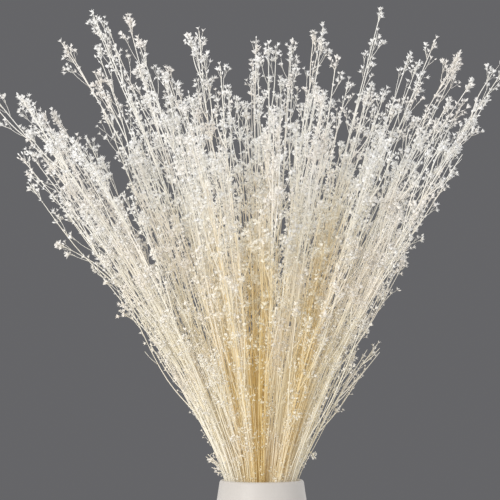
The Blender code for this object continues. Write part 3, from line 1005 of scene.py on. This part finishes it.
def vaseOutline():
    # From the middle of the inner floor, up the inner wall, over the rim and down to the foot.
    wall, floor, flat = vase["wall"], vase["floor"], vase["flatRows"]
    fillet, foot = vase["floorRound"], vase["footRound"]
    rimRound = wall / 2
    rimLow = vase["height"] - vase["rimRise"]
    innerFoot = barrelRadius(floor + fillet) - wall - fillet
    middle = barrelRadius(rimLow) - rimRound
    footMiddle = barrelRadius(foot) - foot
    inner = np.linspace(floor + fillet, rimLow, vase["innerRows"])
    outer = np.linspace(rimLow, foot, vase["outerRows"])
    corner = np.linspace(0, np.pi / 2, vase["floorRows"])
    arc = np.linspace(np.pi, 0, vase["rimRows"])
    turn = np.linspace(0, np.pi / 2, flat)
    rows = [
        (np.linspace(0, innerFoot, flat), np.full(flat, floor)),
        (innerFoot + fillet * np.sin(corner), floor + fillet * (1 - np.cos(corner))),
        (barrelRadius(inner) - wall, inner),
        (middle + rimRound * np.cos(arc), rimLow + vase["rimRise"] * np.sin(arc)),
        (barrelRadius(outer), outer),
        (footMiddle + foot * np.cos(turn), foot * (1 - np.sin(turn))),
        (np.linspace(footMiddle, 0, flat), np.zeros(flat)),
    ]
    radius = np.concatenate([r for r, _ in rows])
    height = np.concatenate([z for _, z in rows])
    apart = np.append(True, np.hypot(np.diff(radius), np.diff(height)) > 1e-6)
    return radius[apart], height[apart]


def unevenness(radius, height, u):
    # Sines of the height and of the angle u, fading out on the floor and at the foot.
    rings = sum(depth * np.sin(height * waves + phase) for depth, waves, phase in vase["rings"])
    depth, waves, phase = vase["oval"]
    oval = depth * np.sin(waves * u + phase)
    share = (radius - vase["unevenFrom"]) / (vase["unevenFull"] - vase["unevenFrom"])
    onWall = np.clip(share, 0, 1) * np.clip(height / vase["unevenAbove"], 0, 1)
    return onWall[:, None] * (rings[:, None] + oval[None, :])


def makeVase(material):
    # The outline's radius r(v), a little uneven, turned through the angle u: (r cos u, r sin u, z).
    radius, height = vaseOutline()
    radius, height = radius[1:-1], height[1:-1]
    u = 2 * np.pi * np.arange(vase["columns"]) / vase["columns"]
    r = radius[:, None] + unevenness(radius, height, u)
    z = np.broadcast_to(height[:, None], r.shape)
    points = np.stack([r * np.cos(u), r * np.sin(u), z], axis=-1)
    rows, columns = r.shape
    points = np.concatenate([points.reshape(-1, 3), [[0, 0, height[0]], [0, 0, 0.0]]])
    k = np.arange(columns)
    after = (k + 1) % columns
    last = (rows - 1) * columns
    floorMiddle = np.stack([np.full(columns, rows * columns), k, after], axis=-1)
    footMiddle = np.stack([np.full(columns, rows * columns + 1), last + after, last + k], axis=-1)
    wall = gridTriangles(rows, columns)[:, ::-1]
    pile = newPile()
    triangles = np.concatenate([wall, floorMiddle, footMiddle])
    addSurface(pile, points, triangles, finish=0, tone=0.5)
    piece = meshOf("ceramic_vase", pile, [material])
    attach(piece, root)
    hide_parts("vase")


# Finishes of what is dried: warm low down and white at the tips, deep in the heart of the bunch, with
# painted light glowing low down and in the heart.
dried = {
    "petalPale": (0.915, 0.910, 0.895, 1),
    "petalWarm": (0.905, 0.825, 0.670, 1),
    "stalkPale": (0.890, 0.870, 0.815, 1),
    "stalkWarm": (0.905, 0.815, 0.595, 1),
    "stalkDeep": (0.675, 0.468, 0.142, 1),
    "deepShare": 0.90,
    "blush": (0.925, 0.830, 0.735, 1),  # patches that have kept a little pink
    "blushShare": 0.34,
    "blushScale": 15.0,
    "blushEdges": (0.48, 0.62),
    "warmBelow": 0.330,  # heights between which the bunch turns from warm to white
    "whiteFrom": 0.580,
    "patchScale": 16.0,
    "patchHeight": 0.10,  # by which patches shift those heights
    "heartMouth": 0.033,  # the bunch's reach at the rim and how it widens, for what counts as its heart
    "heartSlope": 0.58,
    "heartDepth": 0.55,  # the heart is narrow from side to side and deep from front to back
    "heartEdges": (0.25, 0.90),  # shares of that reach between which it ends
    "heartWarmth": 0.40,
    "warmth": 0.52,
    "toneWarmth": 0.30,
    "paintedGlow": 0.046,  # painted light: emission that brightens the shaded inside of the bunch, as a share of its own colour
    "paintedLowGlow": 0.035,
    "paintedHeartGlow": 0.05,
    # deep bands that run up the bunch, steeper than its stems: place and width, as shares of the
    # bands' spread, and depth
    "bands": ((-0.45, 0.09, 0.40), (-0.05, 0.17, 0.78), (0.64, 0.13, 0.90)),
    "bandFull": 0.5,  # shares of its width between which a band fades out
    "bandEnd": 1.4,
    "bandSlope": 0.26,
    "bandSway": 0.26,
    "footDeep": 0.40,
    "footHeight": 0.040,
    "streakTones": (0.20, 0.62),  # stalks below the first tone are deep, and above the second pale
    "streaks": (0.55, 0.06),
    "grainEdges": (0.35, 0.68),
    "grainShare": 0.14,
    "grainDark": 0.80,
    "relief": 0.6,
    "roughness": (0.62, 0.88),
    "specular": 0.30,
    "stalkGrain": ((1500.0, 1500.0, 60.0), 0.00012),  # stretch, and depth of the relief
    "petalGrain": ((1100.0, 1100.0, 1100.0), 0.00016),
}
heightEdges = (0.3, 0.7)  # between which the grain's height turns from smooth to rough


def newMaterial(name):
    # The material, its node tree and its shader.
    material = bpy.data.materials.new(name)
    material.use_nodes = True
    tree = material.node_tree
    return material, tree, tree.nodes["Principled BSDF"]


def node(tree, kind, **settings):
    # A new node with its settings.
    made = tree.nodes.new(kind)
    for key, value in settings.items():
        setattr(made, key, value)
    return made


def noise(tree, vector, scale, detail=3.0, roughness=0.55):
    # A noise value between 0 and 1 at each point.
    made = node(tree, "ShaderNodeTexNoise")
    made.inputs["Scale"].default_value = scale
    made.inputs["Detail"].default_value = detail
    made.inputs["Roughness"].default_value = roughness
    tree.links.new(vector, made.inputs["Vector"])
    return made.outputs["Fac"]


def mapRange(tree, value, low, high, outLow=0.0, outHigh=1.0):
    # A smooth step from outLow to outHigh as the value goes from low to high.
    made = node(tree, "ShaderNodeMapRange", interpolation_type="SMOOTHSTEP")
    for key, number in (("From Min", low), ("From Max", high), ("To Min", outLow), ("To Max", outHigh)):
        made.inputs[key].default_value = number
    tree.links.new(value, made.inputs["Value"])
    return made.outputs["Result"]


def blend(tree, factor, first, second):
    # The first colour where the factor is 0, the second where it is 1.
    made = node(tree, "ShaderNodeMix", data_type="RGBA")
    tree.links.new(factor, made.inputs["Factor"])
    for value, socket in ((first, made.inputs[6]), (second, made.inputs[7])):
        if isinstance(value, tuple):
            socket.default_value = value
        else:
            tree.links.new(value, socket)
    return made.outputs[2]


def math2(tree, operation, first, second=0.0, clamp=False):
    # One operation on two values or sockets.
    made = node(tree, "ShaderNodeMath", operation=operation, use_clamp=clamp)
    for value, socket in ((first, made.inputs[0]), (second, made.inputs[1])):
        if isinstance(value, (int, float)):
            socket.default_value = value
        else:
            tree.links.new(value, socket)
    return made.outputs[0]


def bandsAt(tree, across):
    # Each band is deepest in its middle and fades out towards its sides.
    total = 0.0
    for middle, width, depth in dried["bands"]:
        away = math2(tree, "ABSOLUTE", math2(tree, "SUBTRACT", across, middle))
        full, end = width * dried["bandFull"], width * dried["bandEnd"]
        total = math2(tree, "ADD", mapRange(tree, away, full, end, depth, 0.0), total)
    return total


def heartShare(tree, split, reach):
    # How deep inside the bunch a place is: 1 in its heart and 0 outside, by its distance from the axis.
    flat = node(tree, "ShaderNodeCombineXYZ")
    tree.links.new(split["X"], flat.inputs["X"])
    tree.links.new(math2(tree, "MULTIPLY", split["Y"], dried["heartDepth"]), flat.inputs["Y"])
    away = node(tree, "ShaderNodeVectorMath", operation="LENGTH")
    tree.links.new(flat.outputs[0], away.inputs[0])
    share = math2(tree, "DIVIDE", away.outputs["Value"], reach)
    return mapRange(tree, share, *dried["heartEdges"], 1.0, 0.0)


def dryingGroup():
    # Warmth is low (heart + base) - tone, Depth low (bands + foot + streaks) heart, and PaintedGlow
    # low (heart + base) + paintedGlow, a painted light; low is 1 at the rim and 0 high up, and heart 1 at
    # the axis.
    group = bpy.data.node_groups.new("drying", "ShaderNodeTree")
    for name, kind in (("Position", "NodeSocketVector"), ("Tone", "NodeSocketFloat")):
        group.interface.new_socket(name, in_out="INPUT", socket_type=kind)
    for name in ("Warmth", "Depth", "PaintedGlow"):
        group.interface.new_socket(name, in_out="OUTPUT", socket_type="NodeSocketFloat")
    start, end = node(group, "NodeGroupInput"), node(group, "NodeGroupOutput")
    position, tone = start.outputs["Position"], start.outputs["Tone"]
    separate = node(group, "ShaderNodeSeparateXYZ")
    group.links.new(position, separate.inputs[0])
    split = separate.outputs

    def add(first, second):
        return math2(group, "ADD", first, second)

    def times(first, second, clamp=False):
        return math2(group, "MULTIPLY", first, second, clamp)

    patches = noise(group, position, dried["patchScale"])
    height = add(split["Z"], times(patches, dried["patchHeight"]))
    low = mapRange(group, height, dried["warmBelow"], dried["whiteFrom"], 1.0, 0.0)
    rise = math2(group, "MAXIMUM", math2(group, "SUBTRACT", split["Z"], bunch["vaseHeight"]), 0.0)
    heart = heartShare(group, split, add(times(rise, dried["heartSlope"]), dried["heartMouth"]))
    own = times(math2(group, "SUBTRACT", tone, 0.5), dried["toneWarmth"])
    warm = times(low, add(times(heart, dried["heartWarmth"]), dried["warmth"]))
    group.links.new(math2(group, "SUBTRACT", warm, own, clamp=True), end.inputs["Warmth"])
    spread = add(times(rise, dried["bandSlope"]), dried["heartMouth"])
    sway = times(math2(group, "SUBTRACT", patches, 0.5), dried["bandSway"])
    across = add(math2(group, "DIVIDE", split["X"], spread), sway)
    foot = mapRange(group, rise, 0.0, dried["footHeight"], dried["footDeep"], 0.0)
    streaks = mapRange(group, tone, *dried["streakTones"], *dried["streaks"])
    deep = times(low, add(add(bandsAt(group, across), foot), streaks), clamp=True)
    group.links.new(times(deep, heart, clamp=True), end.inputs["Depth"])
    # Painted light, strongest low down in the heart, where the bunch lies in shade.
    paintedLight = times(low, add(times(heart, dried["paintedHeartGlow"]), dried["paintedLowGlow"]))
    group.links.new(add(paintedLight, dried["paintedGlow"]), end.inputs["PaintedGlow"])
    return group


def grainGroup():
    # Fine relief: a height and a mask from a stretched noise.
    group = bpy.data.node_groups.new("grain", "ShaderNodeTree")
    for name, kind in (("Position", "NodeSocketVector"), ("Stretch", "NodeSocketVector")):
        group.interface.new_socket(name, in_out="INPUT", socket_type=kind)
    for name in ("Height", "Mask"):
        group.interface.new_socket(name, in_out="OUTPUT", socket_type="NodeSocketFloat")
    start, end = node(group, "NodeGroupInput"), node(group, "NodeGroupOutput")
    scaled = node(group, "ShaderNodeVectorMath", operation="MULTIPLY")
    group.links.new(start.outputs["Position"], scaled.inputs[0])
    group.links.new(start.outputs["Stretch"], scaled.inputs[1])
    fine = noise(group, scaled.outputs[0], 1.0, detail=4.0)
    group.links.new(fine, end.inputs["Height"])
    group.links.new(mapRange(group, fine, *dried["grainEdges"]), end.inputs["Mask"])
    return group


def place(tree, group, **values):
    # A node group put into a material, with its own values or links.
    made = node(tree, "ShaderNodeGroup", node_tree=group)
    for key, value in values.items():
        if isinstance(value, (tuple, float)):
            made.inputs[key].default_value = value
        else:
            tree.links.new(value, made.inputs[key])
    return made.outputs


def relief(tree, height, depth, strength, shader):
    # The grain's height as a bump.
    bump = node(tree, "ShaderNodeBump")
    bump.inputs["Distance"].default_value = depth
    bump.inputs["Strength"].default_value = strength
    tree.links.new(height, bump.inputs["Height"])
    tree.links.new(bump.outputs["Normal"], shader.inputs["Normal"])


def driedFinish(name, drying, grain, colours, stretch, depth):
    # From pale to warm by the height, blushed in patches, deep in the bands and darker in the grain, with
    # painted light emitted from its own colour.
    pale, warm, deep = (dried[colour] for colour in colours)
    material, tree, shader = newMaterial(name)
    position = node(tree, "ShaderNodeTexCoord").outputs["Object"]
    tone = node(tree, "ShaderNodeAttribute", attribute_name="tone").outputs["Fac"]
    dry = place(tree, drying, Position=position, Tone=tone)
    fine = place(tree, grain, Position=position, Stretch=stretch)
    patches = noise(tree, position, dried["blushScale"])
    blush = mapRange(tree, patches, *dried["blushEdges"], 0.0, dried["blushShare"])
    colour = blend(tree, dry["Warmth"], pale, warm)
    colour = blend(tree, blush, colour, dried["blush"])
    colour = blend(tree, math2(tree, "MULTIPLY", dry["Depth"], dried["deepShare"]), colour, deep)
    dark = tuple(dried["grainDark"] * c for c in warm[:3]) + (1,)
    colour = blend(tree, math2(tree, "MULTIPLY", fine["Mask"], dried["grainShare"]), colour, dark)
    tree.links.new(colour, shader.inputs["Base Color"])
    # Painted light: the colour is emitted, scaled by PaintedGlow, so that the shaded inside of the bunch
    # looks lit.
    paintedGlow = blend(tree, dry["PaintedGlow"], (0.0, 0.0, 0.0, 1), colour)
    tree.links.new(paintedGlow, shader.inputs["Emission Color"])
    shader.inputs["Emission Strength"].default_value = 1.0
    rough = mapRange(tree, fine["Height"], *heightEdges, *dried["roughness"])
    tree.links.new(rough, shader.inputs["Roughness"])
    relief(tree, fine["Height"], depth, dried["relief"], shader)
    shader.inputs["Specular IOR Level"].default_value = dried["specular"]
    return material


# Matt ceramic of the vase.
ceramic = {
    "light": (0.560, 0.527, 0.492, 1),
    "dark": (0.520, 0.486, 0.447, 1),
    "clouds": 22.0,
    "cloudEdges": (0.35, 0.70),
    "speck": (0.42, 0.36, 0.30, 1),
    "specks": 640.0,
    "speckEdges": (0.70, 0.76),
    "speckShare": 0.30,
    "grain": (900.0, 900.0, 900.0),
    "depth": 0.00006,
    "relief": 0.5,
    "roughness": (0.40, 0.52),
    "specular": 0.42,
}


def ceramicFinish(grain):
    # Two close shades in clouds, with a few specks.
    material, tree, shader = newMaterial("matt ceramic")
    position = node(tree, "ShaderNodeTexCoord").outputs["Object"]
    fine = place(tree, grain, Position=position, Stretch=ceramic["grain"])
    clouds = mapRange(tree, noise(tree, position, ceramic["clouds"]), *ceramic["cloudEdges"])
    specks = mapRange(tree, noise(tree, position, ceramic["specks"], detail=1.0), *ceramic["speckEdges"])
    colour = blend(tree, clouds, ceramic["light"], ceramic["dark"])
    colour = blend(tree, math2(tree, "MULTIPLY", specks, ceramic["speckShare"]), colour, ceramic["speck"])
    tree.links.new(colour, shader.inputs["Base Color"])
    rough = mapRange(tree, fine["Height"], *heightEdges, *ceramic["roughness"])
    tree.links.new(rough, shader.inputs["Roughness"])
    relief(tree, fine["Height"], ceramic["depth"], ceramic["relief"], shader)
    shader.inputs["Specular IOR Level"].default_value = ceramic["specular"]
    return material


# Light and surroundings.
studio = {
    "backdrop": (0.131, 0.131, 0.138, 1),
    "sky": (0.97, 0.98, 1.0, 1),
    "ambient": 0.84,
    "floor": (0.62, 0.61, 0.60, 1),
    "floorRoughness": 0.8,
    "floorRadius": 0.9,
    "floorCorners": 96,
    "floorGap": 0.0006,
    # place, size, power, colour
    "lights": {
        "key": ((-1.5, -1.9, 0.80), 1.3, 33, (1.0, 0.98, 0.955)),
        "fill": ((1.7, -1.7, 0.6), 1.3, 4, (0.95, 0.97, 1.0)),
        "top": ((0.2, 0.3, 2.1), 1.2, 9, (1.0, 0.99, 0.97)),
    },
    "aim": (0.0, 0.0, 0.36),
}


def makeWorld():
    # Even pale light from all round, while the camera sees a grey backdrop.
    world = bpy.data.worlds.new("studio")
    bpy.context.scene.world = world
    world.use_nodes = True
    tree = world.node_tree
    shown = tree.nodes["Background"]
    shown.inputs["Color"].default_value = studio["backdrop"]
    light = node(tree, "ShaderNodeBackground")
    light.inputs["Color"].default_value = studio["sky"]
    light.inputs["Strength"].default_value = studio["ambient"]
    mix = node(tree, "ShaderNodeMixShader")
    tree.links.new(node(tree, "ShaderNodeLightPath").outputs["Is Camera Ray"], mix.inputs[0])
    tree.links.new(light.outputs[0], mix.inputs[1])
    tree.links.new(shown.outputs[0], mix.inputs[2])
    tree.links.new(mix.outputs[0], tree.nodes["World Output"].inputs["Surface"])


def makeLights():
    # Round area lights, each turned so that it looks at the bunch.
    for name, (at, size, power, colour) in studio["lights"].items():
        data = bpy.data.lights.new(name, "AREA")
        data.shape = "DISK"
        data.size, data.energy, data.color = size, power, colour
        lamp = bpy.data.objects.new(name, data)
        lamp.location = at
        lamp.rotation_euler = (Vector(studio["aim"]) - Vector(at)).to_track_quat("-Z", "Y").to_euler()
        lamp.visible_camera = False
        bpy.context.scene.collection.objects.link(lamp)


def makeFloor():
    # A round pale table top, just under the vase's foot.
    corners, radius = studio["floorCorners"], studio["floorRadius"]
    bpy.ops.mesh.primitive_circle_add(vertices=corners, radius=radius, fill_type="NGON")
    floor = bpy.context.object
    floor.name = "floor"
    floor.location.z = -studio["floorGap"]
    material, _, shader = newMaterial("pale floor")
    shader.inputs["Base Color"].default_value = studio["floor"]
    shader.inputs["Roughness"].default_value = studio["floorRoughness"]
    floor.data.materials.append(material)


makeWorld()
makeLights()
makeFloor()
bpy.context.scene.view_settings.view_transform = "Standard"
print("studio set")
drying, grain = dryingGroup(), grainGroup()
stalkColours = ("stalkPale", "stalkWarm", "stalkDeep")
petalColours = ("petalPale", "petalWarm", "stalkWarm")
stalkFinish = driedFinish("dried stalk", drying, grain, stalkColours, *dried["stalkGrain"])
petalFinish = driedFinish("dried petal", drying, grain, petalColours, *dried["petalGrain"])
makeVase(ceramicFinish(grain))
print("vase made")
shapes = floretShapes()
total = 0
for number, stem in enumerate(growBunch()):
    total += makeSpray(number, stem, shapes, [stalkFinish, petalFinish])
print("sprays made:", total, "triangles")
